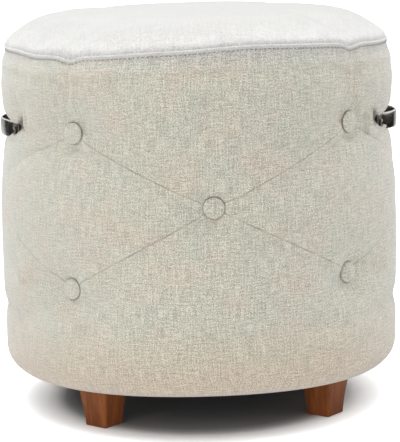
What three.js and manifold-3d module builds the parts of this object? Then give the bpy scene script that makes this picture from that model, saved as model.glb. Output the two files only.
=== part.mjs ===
// A round upholstered tuffet: a plywood and pine drum wrapped in foam, a linen cover drawn into diamonds
// by covered buttons, a domed seat, four tapered wooden legs and a bowed metal strap handle on each side.
// Millimetres, +Z up, front towards -Y, handles on the X axis, origin on the floor under the middle.

import * as THREE from "three";
import { mergeVertices } from "three/addons/utils/BufferGeometryUtils.js";
import Module from "manifold-3d";

const wasm = await Module();
wasm.setup();
const { degToRad, lerp, smoothstep } = THREE.MathUtils;

// Overall sizes
const bodyDiameter = 457;
const legHeight = 43; // floor to the underside of the cover
const drumHeight = 366; // underside to the top seam at the sides
const crownRise = 49; // top seam to the middle of the seat
const clearance = 0.3; // gap between pieces that touch

// Cover and tufting
const coverThickness = 3; // linen with its wadding backing
const foamEase = 1; // slack between the cover and the foam under it
const wrapDepth = 29; // foam and cover outside the drum
const middleRowShare = 0.576; // height of the middle buttons up the drum
const upperRowRise = 79; // middle buttons to upper buttons
const lowerRowDrop = 90; // middle buttons to lower buttons
const tuftDepth = 20; // how far the cover is drawn in under a button, from the widest part
const dimpleFlat = 8; // radius of the flat bottom of a dimple
const dimpleSpread = 22; // distance over which a dimple fades to about a third
const creaseDepth = 5;
const creaseSpread = 14;
const hemWidth = 46; // cover turned in under the base
const hemRound = 25; // radius of the lower edge
const patternTurn = degToRad(4); // the buttons sit this far round from the handles

// Waist and shoulder of the drum
const waistDepth = 4;
const waistSpread = 52;
const shoulderLength = 38; // stretch below the seam that leans in
const shoulderDrop = 7;

// Top seam, its welt and the dome of the seat
const seamBow = 11; // the seam stands higher at front and back than at the sides
const seamDip = 9; // it dips over each column of buttons
const seamDipSpread = 18;
const weltRadius = 2;
const weltSink = 0.8; // welt centre behind the face of the cover
const domePower = 2.4; // squareness of the dome, 2 would be an ellipse

// Buttons and the ties that hold them
const buttonDiameter = 23;
const buttonThickness = 6;
const buttonEdge = 2.4; // height of the button's widest line above its back
const buttonLift = 4.6; // its back stands on the rim of the dimple
const tieRadius = 1;
const stayRadius = 8;
const stayThickness = 3;

// Drum
const boardThickness = 15;
const seatFoamDepth = 27; // seat board to the top seam
const skinThickness = 4;
const postWidth = 40;
const postDepth = 22;
const postSpread = degToRad(27); // front and back posts, from the front and back lines
const roundSides = 48;

// Legs and their fixings
const legTurn = degToRad(5.5); // the legs sit this far round from the handles
const legInset = 52; // leg centre in from the widest part of the drum
const legTopSide = 40;
const legBottomSide = 30;
const legCurve = 1.5; // how late the taper comes, 1 would be straight sides
const legChamfer = 2.5;
const boltRadius = 4;
const boltInLeg = 25;
const boltChamfer = 1;
const nutBarrelRadius = 5.2;
const nutBarrelLength = 12;
const nutFlangeRadius = 10;
const nutFlangeThickness = 1.6;
const dustCoverThickness = 0.8;
const dustCoverMargin = 20; // past the edge of the hem that it hides

// Handles
const handleDrop = 10; // handle centre below the upper buttons
const handleHalfSpan = degToRad(18); // handle centre line to each foot
const strapHeight = 20;
const strapThickness = 3;
const strapBevel = 0.8;
const footLength = 24;
const footBend = degToRad(24.5);
const footBendRadius = 8;
const hollowDepth = 16.6; // cover drawn in behind the handle, from the widest part
const hollowHalfSpan = degToRad(24);
const hollowFade = degToRad(10);
const hollowHalfHeight = 11;
const hollowRise = 15; // height over which the hollow runs out
const footLift = 1.2; // foot of the strap off the flat of the hollow
const screwRadius = 2.2;
const screwLength = 38;
const screwPoint = 6;
const screwHeadRadius = 4.6;
const screwHeadHeight = 2.4;

// Sizes that follow
const fullTurn = 2 * Math.PI;
const eighthTurn = fullTurn / 8;
const weldDistance = 0.001;
const holeOverrun = 20;
const bodyRadius = bodyDiameter / 2;
const seamHeight = legHeight + drumHeight;
const crownHeight = seamHeight + crownRise;
const middleRow = legHeight + drumHeight * middleRowShare;
const upperRow = middleRow + upperRowRise;
const lowerRow = middleRow - lowerRowDrop;
const handleHeight = upperRow - handleDrop;
const tuftRadius = bodyRadius - tuftDepth;
const buttonBack = tuftRadius + buttonLift;
const hollowRadius = bodyRadius - hollowDepth;
const hemRoundRadius = bodyRadius - hemRound;
const hemRadius = hemRoundRadius - hemWidth;
const skinRadius = bodyRadius - wrapDepth;
const skinInside = skinRadius - skinThickness;
const boardRadius = skinInside - clearance;
const baseBottom = legHeight + coverThickness + clearance + clearance;
const baseTop = baseBottom + boardThickness;
const skinBottom = baseBottom + skinThickness; // short of the base board, where the cover turns under
const deckHeight = seamHeight - seatFoamDepth;
const postBottom = baseTop + clearance;
const postTop = deckHeight - boardThickness - clearance;
const legRadius = bodyRadius - legInset;
const legTop = legHeight - clearance;
const footRadius = hollowRadius + footLift;
const boltBottom = legTop - boltInLeg;
const screwSeat = footRadius + strapThickness + clearance;
const screwTip = screwSeat - screwLength;
const columnAcross = bodyRadius * eighthTurn; // panel middle to a column of buttons, along the cover

// Grid of the tufted pieces: columns in an eighth of the round, then rows in each stretch of the profile
const coverGrid = { columns: 5, shoulder: 1, yoke: 3, upperTier: 4, lowerTier: 4, skirt: 2, round: 3 };
const liningGrid = { columns: 2, shoulder: 1, yoke: 3, upperTier: 4, lowerTier: 2, skirt: 1, round: 3 };
const domeSteps = 6;

// The seat pad stands inside the flats of the lining
const liningShare = Math.cos(Math.PI / (8 * liningGrid.columns));
const padRadius = (bodyRadius - shoulderDrop - creaseDepth - coverThickness) * liningShare - foamEase;

const finishes = {
  linen: { color: 0xd3cfc3, roughness: 0.95, metalness: 0 },
  foam: { color: 0xe9dfb4, roughness: 1, metalness: 0 },
  board: { color: 0xb98a5a, roughness: 0.8, metalness: 0 },
  pine: { color: 0xd9b67c, roughness: 0.8, metalness: 0 },
  stainedWood: { color: 0x7d4b2c, roughness: 0.45, metalness: 0 },
  nickel: { color: 0xc9c7c2, roughness: 0.18, metalness: 1 },
  zinc: { color: 0x9fa3a6, roughness: 0.4, metalness: 1 },
  twine: { color: 0xe4dcc8, roughness: 1, metalness: 0 },
  blackCloth: { color: 0x1d1d1f, roughness: 1, metalness: 0 },
};

const tuffet = new THREE.Group();

function addPart(name, geometry, finish, parent = tuffet) {
  const mesh = new THREE.Mesh(geometry, new THREE.MeshStandardMaterial(finishes[finish]));
  mesh.name = name;
  parent.add(mesh);
  return mesh;
}

// Solids and cuts

function solidOf(geometry) {
  geometry.deleteAttribute("normal");
  geometry.deleteAttribute("uv");
  const welded = mergeVertices(geometry, weldDistance);
  const vertProperties = welded.attributes.position.array;
  const triVerts = new Uint32Array(welded.index.array);
  return new wasm.Manifold(new wasm.Mesh({ numProp: 3, vertProperties, triVerts }));
}

function cut(geometry, cutters) {
  let solid = solidOf(geometry);
  for (const cutter of cutters) solid = solid.subtract(solidOf(cutter));
  const { vertProperties, triVerts } = solid.getMesh();
  const result = new THREE.BufferGeometry();
  result.setAttribute("position", new THREE.BufferAttribute(vertProperties, 3));
  result.setIndex(new THREE.BufferAttribute(triVerts, 1));
  result.computeVertexNormals();
  return result;
}

// A turned piece on the Z axis, its profile given as [radius, height] from bottom to top
function turned(profile, sides) {
  const points = profile.map(([radius, height]) => new THREE.Vector2(radius, height));
  return new THREE.LatheGeometry(points, sides).rotateX(Math.PI / 2);
}

// A drill along a spoke of the drum, the turn counted from the front towards +X
function spokeDrill(turn, height, radius, inside, outside, facets) {
  const drill = new THREE.CylinderGeometry(radius, radius, outside - inside, facets);
  return drill.translate(0, -(inside + outside) / 2, height).rotateZ(turn);
}

function uprightDrill(turn, spokeRadius, radius, bottom, top) {
  const drill = new THREE.CylinderGeometry(radius, radius, top - bottom, 8).rotateX(Math.PI / 2);
  return drill.translate(0, -spokeRadius, (bottom + top) / 2).rotateZ(turn);
}

function onSpoke(turn, radius, height) {
  return new THREE.Vector3(radius * Math.sin(turn), -radius * Math.cos(turn), height);
}

// A polygon's corner radius when its flats have to reach the radius given
function cornerRadius(flatRadius, sides) {
  return flatRadius / Math.cos(Math.PI / sides);
}

// Lofts

// Joins two rings of equal count, with each quad split along the diagonal that lies nearer the axis,
// so that a crease runs along edges of the mesh
function joinEvenly(upper, lower, upperStart, lowerStart, triangles) {
  upper.forEach((corner, i) => {
    const next = (i + 1) % upper.length;
    const falling = corner.clone().add(lower[next]);
    const rising = upper[next].clone().add(lower[i]);
    const [a, b] = [upperStart + i, upperStart + next];
    const [c, d] = [lowerStart + i, lowerStart + next];
    if (Math.hypot(falling.x, falling.y) < Math.hypot(rising.x, rising.y)) triangles.push(a, c, d, a, d, b);
    else triangles.push(a, c, b, b, c, d);
  });
}

// Joins two rings of different count by always stepping on the ring that lags behind
function joinUnevenly(upper, lower, upperStart, lowerStart, triangles) {
  let [i, j] = [0, 0];
  const stepsUp = upper.length > 1 ? upper.length : 0;
  const stepsDown = lower.length > 1 ? lower.length : 0;
  while (i < stepsUp || j < stepsDown) {
    const a = upperStart + (i % upper.length);
    const c = lowerStart + (j % lower.length);
    const lowerLags = i === stepsUp || (j < stepsDown && (j + 1) / stepsDown <= (i + 1) / stepsUp);
    if (lowerLags) triangles.push(a, c, lowerStart + ((++j) % lower.length));
    else triangles.push(a, c, upperStart + ((++i) % upper.length));
  }
}

// Rings run round as seen from above, the outer ones from top to bottom and the inner ones back up.
// A ring of one point closes an end, and a loop joins the last ring to the first.
function loft(rings, isLoop) {
  const triangles = [];
  const starts = [];
  rings.reduce((start, ring) => {
    starts.push(start);
    return start + ring.length;
  }, 0);
  const joins = isLoop ? rings.length : rings.length - 1;
  for (let k = 0; k < joins; k++) {
    const next = (k + 1) % rings.length;
    const join = rings[k].length === rings[next].length ? joinEvenly : joinUnevenly;
    join(rings[k], rings[next], starts[k], starts[next], triangles);
  }
  const geometry = new THREE.BufferGeometry().setFromPoints(rings.flat());
  geometry.setIndex(triangles);
  geometry.computeVertexNormals();
  return geometry;
}

// Rings of a piece whose profile changes with the turn, counted in the frame of the button pattern
function profileRings(columns, profileAt) {
  const turns = Array.from({ length: 8 * columns }, (_, i) => (i / columns) * eighthTurn);
  const profiles = turns.map(profileAt);
  return profiles[0].map((_, k) =>
    profiles.map((profile, i) => onSpoke(turns[i] + patternTurn, profile[k].x, profile[k].y)),
  );
}

// Form of the cover

function bell(x) {
  return Math.exp(-x * x);
}

// Angle from the nearest panel middle, nought to an eighth of a turn
function foldedTurn(turn) {
  const quarter = fullTurn / 4;
  const past = ((turn % quarter) + quarter) % quarter;
  return Math.min(past, quarter - past);
}

function drumRadius(height) {
  const waist = waistDepth * bell((height - handleHeight) / waistSpread);
  const lean = Math.max(0, (height - (seamHeight - shoulderLength)) / shoulderLength);
  return bodyRadius - waist - shoulderDrop * Math.min(1, lean) ** 2;
}

// Distance from a diagonal between buttons, or above the upper buttons from the pleat that climbs to the seam
function creaseDistance(across, height) {
  if (height > upperRow) return columnAcross - across;
  if (height < lowerRow) return Infinity;
  const reach = height > middleRow ? upperRowRise : lowerRowDrop;
  const offLine = across * reach - Math.abs(height - middleRow) * columnAcross;
  return Math.abs(offLine) / Math.hypot(columnAcross, reach);
}

// The sides have no middle button, so the creases there run out towards the middle
function tuftDepthAt(turn, height) {
  const across = bodyRadius * foldedTurn(turn);
  const isSide = Math.abs(Math.sin(turn)) > Math.SQRT1_2;
  const fullDepth = isSide ? (creaseDepth * across) / columnAcross : creaseDepth;
  const crease = fullDepth * Math.exp(-creaseDistance(across, height) / creaseSpread);
  const seats = [
    [columnAcross, upperRow],
    [columnAcross, lowerRow],
    ...(isSide ? [] : [[0, middleRow]]),
  ];
  const dimples = seats.map(([seatAcross, seatHeight]) => {
    const distance = Math.max(0, Math.hypot(across - seatAcross, height - seatHeight) - dimpleFlat);
    return (drumRadius(seatHeight) - tuftRadius) * Math.exp(-distance / dimpleSpread);
  });
  return Math.max(crease, ...dimples);
}

// How much of the hollow behind a handle is felt at a place on the cover, nought to one
function hollowShare(turn, height) {
  const fromHandle = Math.abs(Math.asin(Math.cos(turn)));
  const along = 1 - smoothstep(fromHandle, hollowHalfSpan, hollowHalfSpan + hollowFade);
  const fromCentre = Math.abs(height - handleHeight);
  return along * (1 - smoothstep(fromCentre, hollowHalfHeight, hollowHalfHeight + hollowRise));
}

function coverRadius(turn, height) {
  const tufted = drumRadius(height) - tuftDepthAt(turn, height);
  return lerp(tufted, Math.min(tufted, hollowRadius), hollowShare(turn + patternTurn, height));
}

function seamHeightAt(turn) {
  const fromColumn = columnAcross - bodyRadius * foldedTurn(turn);
  return seamHeight + seamBow * Math.cos(turn) ** 2 - seamDip * bell(fromColumn / seamDipSpread);
}

function spread(from, to, steps) {
  return Array.from({ length: steps }, (_, i) => lerp(from, to, i / steps));
}

// The side cover's profile from its top edge down and round the lower edge, set in by a wall or more.
// Below the deck it is also the outline of the foam.
function sideProfile(turn, inset, grid, fromDeck) {
  const topEdge = seamHeightAt(turn) - weltRadius - clearance;
  const heights = [
    ...(fromDeck ? [] : spread(topEdge, deckHeight, grid.shoulder)),
    ...spread(deckHeight, upperRow, grid.yoke),
    ...spread(upperRow, middleRow, grid.upperTier),
    ...spread(middleRow, lowerRow, grid.lowerTier),
    ...spread(lowerRow, legHeight + hemRound, grid.skirt),
  ];
  const side = heights.map((height) => new THREE.Vector2(coverRadius(turn, height) - inset, height));
  const bend = hemRound - inset;
  const angles = [...spread(0, Math.PI / 2, grid.round), ...(fromDeck ? [] : [Math.PI / 2])];
  const round = angles.map((angle) => {
    const radius = hemRoundRadius + bend * Math.cos(angle);
    return new THREE.Vector2(radius, legHeight + hemRound - bend * Math.sin(angle));
  });
  return [...side, ...round];
}

// The dome of the seat from just off its crown down to the seam
function domeProfile(turn, inset) {
  const edgeHeight = seamHeightAt(turn) + weltRadius + clearance;
  const edgeRadius = coverRadius(turn, seamHeightAt(turn)) - inset;
  const rise = crownHeight - inset - edgeHeight;
  return Array.from({ length: domeSteps }, (_, i) => {
    const angle = ((i + 1) / domeSteps) * (Math.PI / 2);
    const out = Math.sin(angle) ** (2 / domePower);
    const up = Math.max(0, Math.cos(angle)) ** (2 / domePower);
    return new THREE.Vector2(edgeRadius * out, edgeHeight + rise * (i + 1 < domeSteps ? up : 0));
  });
}

function crownPoint(inset) {
  return [onSpoke(0, 0, crownHeight - inset)];
}

// Places of the buttons, legs, posts and handle feet

const corners = ["front_right", "back_right", "back_left", "front_left"];
const columnTurns = corners.map((_, quarter) => (2 * quarter + 1) * eighthTurn);
const legPlaces = corners.map((name, quarter) => ({ name, turn: columnTurns[quarter] + legTurn }));
const columnPlaces = corners.map((name, quarter) => ({ name, turn: columnTurns[quarter] + patternTurn }));
const buttonPlaces = [
  ...columnPlaces.map(({ name, turn }) => ({ name: `upper_${name}`, turn, height: upperRow })),
  { name: "middle_front", turn: patternTurn, height: middleRow },
  { name: "middle_back", turn: Math.PI + patternTurn, height: middleRow },
  ...columnPlaces.map(({ name, turn }) => ({ name: `lower_${name}`, turn, height: lowerRow })),
];
const footPlaces = [
  { name: "handle_right_front", turn: Math.PI / 2 - handleHalfSpan },
  { name: "handle_right_back", turn: Math.PI / 2 + handleHalfSpan },
  { name: "handle_left_back", turn: -Math.PI / 2 - handleHalfSpan },
  { name: "handle_left_front", turn: -Math.PI / 2 + handleHalfSpan },
];
const panelPosts = [
  { name: "front_left", turn: -postSpread },
  { name: "front_right", turn: postSpread },
  { name: "back_right", turn: Math.PI - postSpread },
  { name: "back_left", turn: Math.PI + postSpread },
];

function tieHoles(inside) {
  const facets = 4;
  const radius = cornerRadius(tieRadius + clearance, facets);
  return buttonPlaces.map(({ turn, height }) => spokeDrill(turn, height, radius, inside, bodyRadius, facets));
}

function screwHole(turn, inside, outside) {
  const facets = 6;
  return spokeDrill(turn, handleHeight, cornerRadius(screwRadius + clearance, facets), inside, outside, facets);
}

function screwHoles(inside) {
  return footPlaces.map(({ turn }) => screwHole(turn, inside, bodyRadius + holeOverrun));
}

function boltHoles(bottom, top) {
  const radius = cornerRadius(boltRadius + clearance, 8);
  return legPlaces.map(({ turn }) => uprightDrill(turn, legRadius, radius, bottom, top));
}

// Cover: a tufted side, a domed top and the welt between them

function sideCoverGeometry() {
  const ringsOf = (inset, grid) =>
    profileRings(grid.columns, (turn) => [
      ...sideProfile(turn, inset, grid, false),
      new THREE.Vector2(hemRadius, legHeight + inset),
    ]);
  const faceRings = ringsOf(0, coverGrid);
  const liningRings = ringsOf(coverThickness, liningGrid);
  const wrap = loft([...faceRings, ...liningRings.reverse()], true);
  const holes = [...tieHoles(skinRadius), ...screwHoles(skinRadius), ...boltHoles(0, baseTop)];
  return cut(wrap, holes);
}

function topCoverGeometry() {
  const faceRings = profileRings(coverGrid.columns, (turn) => domeProfile(turn, 0));
  const liningRings = profileRings(coverGrid.columns, (turn) => domeProfile(turn, coverThickness));
  const rings = [crownPoint(0), ...faceRings, ...liningRings.reverse(), crownPoint(coverThickness)];
  return loft(rings, false);
}

function seamWeltGeometry() {
  const sectionSides = 6;
  const rings = profileRings(coverGrid.columns, (turn) => {
    const height = seamHeightAt(turn);
    const radius = coverRadius(turn, height) - weltSink;
    return Array.from({ length: sectionSides }, (_, i) => {
      const angle = Math.PI / 2 - (i / sectionSides) * fullTurn;
      return new THREE.Vector2(radius + weltRadius * Math.cos(angle), height + weltRadius * Math.sin(angle));
    });
  });
  return loft(rings, true);
}

// Foam: a crowned seat pad and a wrap that the ties draw in

function seatFoamGeometry() {
  const inset = coverThickness + foamEase;
  const rings = profileRings(coverGrid.columns, (turn) => {
    const dome = domeProfile(turn, inset).map(({ x, y }) => new THREE.Vector2(Math.min(x, padRadius), y));
    return [...dome, new THREE.Vector2(padRadius, deckHeight + clearance)];
  });
  return loft([crownPoint(inset), ...rings, [onSpoke(0, 0, deckHeight + clearance)]], false);
}

function sideFoamGeometry() {
  const inset = coverThickness + foamEase;
  const insideRadius = cornerRadius(skinRadius + clearance, 8 * liningGrid.columns);
  const rings = profileRings(liningGrid.columns, (turn) => {
    const outline = sideProfile(turn, inset, liningGrid, true);
    const toeHeight = outline[outline.length - 1].y;
    return [...outline, new THREE.Vector2(insideRadius, toeHeight), new THREE.Vector2(insideRadius, deckHeight)];
  });
  return cut(loft(rings, true), [...tieHoles(skinInside), ...screwHoles(skinInside)]);
}

// Drum: two boards, eight posts and the bent skin that the foam is glued to

function boardGeometry(bottom) {
  const board = new THREE.CylinderGeometry(boardRadius, boardRadius, boardThickness, roundSides);
  return board.rotateX(Math.PI / 2).translate(0, 0, bottom + boardThickness / 2);
}

function baseBoardGeometry() {
  const radius = cornerRadius(nutBarrelRadius + clearance, 8);
  const holes = legPlaces.map(({ turn }) =>
    uprightDrill(turn, legRadius, radius, legHeight, baseTop + holeOverrun),
  );
  return cut(boardGeometry(baseBottom), holes);
}

function drumSkinGeometry() {
  const wall = [
    [skinInside, skinBottom],
    [skinRadius, skinBottom],
    [skinRadius, deckHeight],
    [skinInside, deckHeight],
    [skinInside, skinBottom],
  ];
  const holes = [...tieHoles(skinInside - holeOverrun), ...screwHoles(skinInside - holeOverrun)];
  return cut(turned(wall, roundSides), holes);
}

function addPost(place) {
  const { name, turn } = place;
  const room = (skinInside - clearance) * Math.cos(Math.PI / roundSides);
  const face = Math.sqrt(room ** 2 - (postWidth / 2) ** 2) - clearance;
  const height = postTop - postBottom;
  const post = new THREE.BoxGeometry(postWidth, postDepth, height);
  post.translate(0, postDepth / 2 - face, (postTop + postBottom) / 2).rotateZ(turn);
  const isDrilled = footPlaces.includes(place);
  const geometry = isDrilled ? cut(post, [screwHole(turn, screwTip - clearance, bodyRadius)]) : post;
  addPart(`frame_post_${name}`, geometry, "pine");
}

// Buttons on twine ties, each tie stopped by a flat stay inside the drum

function buttonGeometry() {
  const radius = buttonDiameter / 2;
  const domeStepsUp = 4;
  const rise = buttonThickness - buttonEdge;
  const dome = Array.from({ length: domeStepsUp + 1 }, (_, i) => {
    const angle = (i / domeStepsUp) * (Math.PI / 2);
    const isTop = i === domeStepsUp;
    return [isTop ? 0 : radius * Math.cos(angle), buttonEdge + rise * Math.sin(angle)];
  });
  return turned([[0, 0], [radius - buttonEdge, 0], ...dome], 12);
}

function tieGeometry(stayFace) {
  const length = buttonBack - clearance - stayFace;
  const profile = [
    [0, -stayThickness],
    [stayRadius, -stayThickness],
    [stayRadius, 0],
    [tieRadius, 0],
    [tieRadius, length],
    [0, length],
  ];
  return turned(profile, 8);
}

function addButtonsAndTies() {
  const stayFace = skinInside * Math.cos(Math.PI / roundSides) - clearance;
  for (const { name, turn, height } of buttonPlaces) {
    const spoke = new THREE.Group();
    spoke.rotation.z = turn;
    tuffet.add(spoke);
    const button = addPart(`tuft_button_${name}`, buttonGeometry(), "linen", spoke);
    button.position.set(0, -buttonBack, height);
    button.rotation.x = Math.PI / 2;
    const tie = addPart(`tuft_tie_${name}`, tieGeometry(stayFace), "twine", spoke);
    tie.position.set(0, -stayFace, height);
    tie.rotation.x = Math.PI / 2;
  }
}

// Legs: tapered square blocks, each on a hanger bolt in a tee nut

function legRing(side, height) {
  const flat = side / 2;
  const corner = flat - legChamfer;
  const places = [
    [-corner, -flat],
    [corner, -flat],
    [flat, -corner],
    [flat, corner],
    [corner, flat],
    [-corner, flat],
    [-flat, corner],
    [-flat, -corner],
  ];
  return places.map(([x, y]) => new THREE.Vector3(x, y, height));
}

function legGeometry() {
  const steps = 5;
  const rings = Array.from({ length: steps + 1 }, (_, i) => {
    const share = 1 - i / steps;
    return legRing(lerp(legBottomSide, legTopSide, share ** legCurve), legTop * share);
  });
  const block = loft([[onSpoke(0, 0, legTop)], ...rings, [onSpoke(0, 0, 0)]], false);
  const holeRadius = cornerRadius(boltRadius + clearance, 8);
  return cut(block, [uprightDrill(0, 0, holeRadius, boltBottom - clearance, legTop + holeOverrun)]);
}

function hangerBoltGeometry() {
  const top = baseTop + nutFlangeThickness;
  const profile = [
    [0, boltBottom],
    [boltRadius - boltChamfer, boltBottom],
    [boltRadius, boltBottom + boltChamfer],
    [boltRadius, top - boltChamfer],
    [boltRadius - boltChamfer, top],
    [0, top],
  ];
  return turned(profile, 8);
}

function teeNutGeometry() {
  const bore = cornerRadius(boltRadius + clearance, 8);
  const seat = baseTop + clearance;
  const profile = [
    [bore, seat - nutBarrelLength],
    [nutBarrelRadius, seat - nutBarrelLength],
    [nutBarrelRadius, seat],
    [nutFlangeRadius, seat],
    [nutFlangeRadius, seat + nutFlangeThickness],
    [bore, seat + nutFlangeThickness],
    [bore, seat - nutBarrelLength],
  ];
  return turned(profile, 8);
}

function addLegs() {
  for (const { name, turn } of legPlaces) {
    const corner = new THREE.Group();
    corner.rotation.z = turn;
    tuffet.add(corner);
    const pieces = [
      addPart(`leg_${name}`, legGeometry(), "stainedWood", corner),
      addPart(`hanger_bolt_${name}`, hangerBoltGeometry(), "zinc", corner),
      addPart(`tee_nut_${name}`, teeNutGeometry(), "zinc", corner),
    ];
    for (const piece of pieces) piece.position.y = -legRadius;
  }
}

// The dust cover hides the hem and is notched round each leg
function dustCoverGeometry() {
  const radius = hemRadius + dustCoverMargin;
  const top = legHeight - clearance;
  const sheet = new THREE.CylinderGeometry(radius, radius, dustCoverThickness, roundSides);
  sheet.rotateX(Math.PI / 2).translate(0, 0, top - dustCoverThickness / 2);
  const side = legTopSide + 2 * clearance;
  const notches = legPlaces.map(({ turn }) => {
    const notch = new THREE.BoxGeometry(side, side, legHeight);
    return notch.translate(0, -legRadius, legHeight).rotateZ(turn);
  });
  return cut(sheet, notches);
}

// Handles: a strap with two flat feet and a bow between them, bent from one strip

// Stations along a strip made of straight runs and bends, each with its place and heading
function bendStrip(start, startHeading, moves) {
  const at = start.clone();
  let heading = startHeading;
  const stations = [{ place: at.clone(), heading }];
  for (const { length = 0, radius = 0, angle = 0, steps = 1 } of moves) {
    const turn = angle / steps;
    const step = angle ? 2 * radius * Math.sin(Math.abs(turn) / 2) : length;
    for (let i = 0; i < steps; i++) {
      const course = heading + turn / 2;
      at.x += step * Math.cos(course);
      at.y += step * Math.sin(course);
      heading += turn;
      stations.push({ place: at.clone(), heading });
    }
  }
  return stations;
}

// Runs along Y with its bow towards +X, drawn on the middle line of the strip
function strapStations() {
  const footLine = footRadius + strapThickness / 2;
  const footX = footLine * Math.cos(handleHalfSpan) - (footLength / 2) * Math.sin(handleHalfSpan);
  const footY = -footLine * Math.sin(handleHalfSpan) - (footLength / 2) * Math.cos(handleHalfSpan);
  const bowAngle = handleHalfSpan + footBend;
  const footInnerY = -footY - footLength * Math.cos(handleHalfSpan);
  const bendRun = footBendRadius * (Math.sin(bowAngle) - Math.sin(handleHalfSpan));
  const bowRadius = (footInnerY - bendRun) / Math.sin(bowAngle);
  return bendStrip(new THREE.Vector2(footX, footY), Math.PI / 2 - handleHalfSpan, [
    { length: footLength },
    { radius: footBendRadius, angle: -footBend, steps: 3 },
    { radius: bowRadius, angle: 2 * bowAngle, steps: 12 },
    { radius: footBendRadius, angle: -footBend, steps: 3 },
    { length: footLength },
  ]);
}

function strapGeometry() {
  const stations = strapStations();
  const edge = (side) =>
    stations.map(({ place, heading }) => {
      const offset = (side * strapThickness) / 2;
      return new THREE.Vector2(place.x + offset * Math.sin(heading), place.y - offset * Math.cos(heading));
    });
  const outline = new THREE.Shape([...edge(1), ...edge(-1).reverse()]);
  const strap = new THREE.ExtrudeGeometry(outline, {
    depth: strapHeight - 2 * strapBevel,
    bevelThickness: strapBevel,
    bevelSize: strapBevel,
    bevelOffset: -strapBevel,
    bevelSegments: 1,
  });
  strap.translate(0, 0, handleHeight - strapHeight / 2 + strapBevel);
  const rightFeet = footPlaces.filter(({ turn }) => turn > 0);
  return cut(strap, rightFeet.map(({ turn }) => screwHole(turn, hollowRadius, bodyRadius)));
}

// A pan-head screw along a spoke, its head on the outer face of the foot
function screwGeometry() {
  const profile = [
    [0, -screwLength],
    [screwRadius, screwPoint - screwLength],
    [screwRadius, 0],
    [screwHeadRadius, 0],
    [screwHeadRadius, screwHeadHeight / 2],
    [screwHeadRadius * Math.SQRT1_2, screwHeadHeight],
    [0, screwHeadHeight],
  ];
  return turned(profile, 10);
}

function addHandles() {
  for (const [name, turn] of [["right", 0], ["left", Math.PI]]) {
    addPart(`handle_${name}`, strapGeometry(), "nickel").rotation.z = turn;
  }
  for (const { name, turn } of footPlaces) {
    const spoke = new THREE.Group();
    spoke.rotation.z = turn;
    tuffet.add(spoke);
    const screw = addPart(`screw_${name}`, screwGeometry(), "nickel", spoke);
    screw.position.set(0, -screwSeat, handleHeight);
    screw.rotation.x = Math.PI / 2;
  }
}

addPart("side_cover", sideCoverGeometry(), "linen");
addPart("top_cover", topCoverGeometry(), "linen");
addPart("seam_welt", seamWeltGeometry(), "linen");
addPart("seat_foam", seatFoamGeometry(), "foam");
addPart("side_foam", sideFoamGeometry(), "foam");
addPart("drum_skin", drumSkinGeometry(), "board");
addPart("seat_board", boardGeometry(deckHeight - boardThickness), "board");
addPart("base_board", baseBoardGeometry(), "board");
for (const place of [...panelPosts, ...footPlaces]) addPost(place);
addButtonsAndTies();
addLegs();
addPart("dust_cover", dustCoverGeometry(), "blackCloth");
addHandles();

export default tuffet;
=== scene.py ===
"""Dresses a round tufted tuffet: linen cover, welt, covered buttons, stained legs and strap handles.

Everything is in metres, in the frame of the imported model: +Z up, front towards -Y, handles on the X axis.
"""

import functools
import math

import bmesh
import bpy
from mathutils import Euler, Matrix, Vector


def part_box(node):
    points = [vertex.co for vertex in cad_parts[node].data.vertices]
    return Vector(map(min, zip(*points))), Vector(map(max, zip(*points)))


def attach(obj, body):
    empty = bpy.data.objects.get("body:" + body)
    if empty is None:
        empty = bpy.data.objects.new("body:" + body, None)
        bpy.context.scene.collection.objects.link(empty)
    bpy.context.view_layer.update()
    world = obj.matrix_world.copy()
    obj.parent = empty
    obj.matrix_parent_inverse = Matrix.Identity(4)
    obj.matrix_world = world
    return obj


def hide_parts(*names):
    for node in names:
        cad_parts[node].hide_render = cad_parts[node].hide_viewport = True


bl_info = {
    "name": "Tufted Tuffet",
    "version": (1, 0, 0),
    "blender": (4, 5, 0),
    "location": "View3D > Sidebar > Tuffet",
    "description": "Builds the cover, trim, legs, handles and finishes of a round tufted tuffet",
    "category": "Add Mesh",
}

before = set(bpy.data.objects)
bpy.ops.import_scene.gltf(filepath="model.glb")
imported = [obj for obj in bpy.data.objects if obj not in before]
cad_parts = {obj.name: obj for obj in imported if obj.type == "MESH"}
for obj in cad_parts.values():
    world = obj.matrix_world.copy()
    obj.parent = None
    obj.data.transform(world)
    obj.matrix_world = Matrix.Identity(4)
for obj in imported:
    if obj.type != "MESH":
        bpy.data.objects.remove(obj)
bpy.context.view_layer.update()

FULL_TURN = 2 * math.pi
EIGHTH = FULL_TURN / 8
CORNERS = ("front_right", "back_right", "back_left", "front_left")

# Lift of the sewn seam over its even course, by turn in degrees; the back repeats the front
SEAM_LIFT = (
    (-90, 0.006),
    (-68, 0.004),
    (-50, -0.002),
    (-30, -0.004),
    (-10, -0.002),
    (18, 0.003),
    (50, 0.0035),
    (90, 0.006),
)
# How far the front buttons were pulled off the even pattern: turn in degrees, then height
BUTTON_PULL = {
    "upper_front_left": (2.0, -0.0025),
    "lower_front_left": (-0.3, -0.0041),
    "middle_front": (-0.8, 0.0),
    "upper_front_right": (0.0, 0.001),
    "lower_front_right": (-1.4, 0.0047),
}

# The cloth lies this far inside the cover's form, and sinks in this far behind what presses on it
CLOTH_INSET = 0.0004
SINK = 0.0006
# A button presses the cloth flat over this share of its radius, and a pleat is this share as deep as a fold
SEAT_SHARE = 0.85
PLEAT_SHARE = 0.75
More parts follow.
